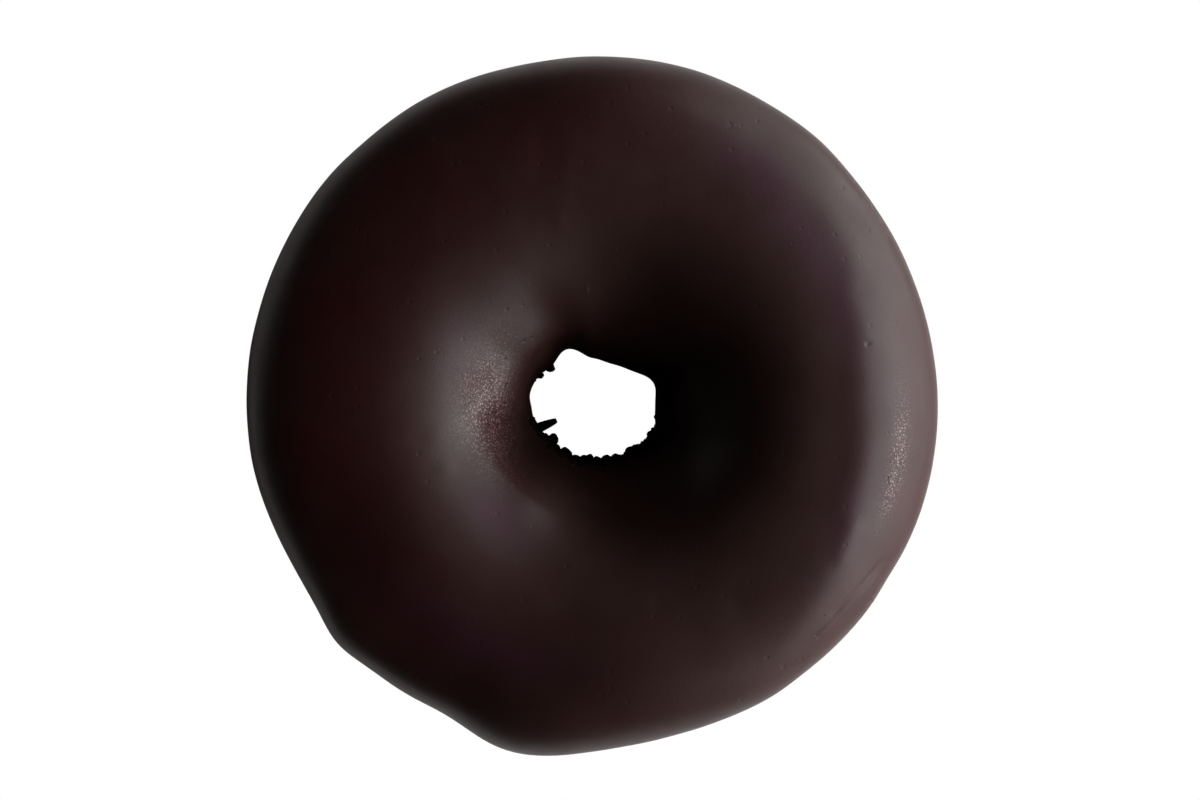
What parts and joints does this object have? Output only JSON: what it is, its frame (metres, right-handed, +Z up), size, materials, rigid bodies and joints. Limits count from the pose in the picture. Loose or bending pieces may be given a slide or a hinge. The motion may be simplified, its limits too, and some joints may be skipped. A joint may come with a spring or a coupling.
{
  "type": "chocolate coated ring doughnut",
  "caption": "Ring doughnut coated all over in dark chocolate, with an uneven outline and a ragged round hole.",
  "frame": {"origin": "on the base plane, under the middle of the ring's outline", "axes": "+Z up through the hole; +X is the picture's right and +Y is its top"},
  "size_m": [0.09, 0.0908, 0.0288],
  "materials": {
    "dark_chocolate": "set dark chocolate, satin, with a fine grain and a few pinholes"
  },
  "bodies": {
    "root": {"doughnut": "dark_chocolate"}
  },
  "joints": []
}
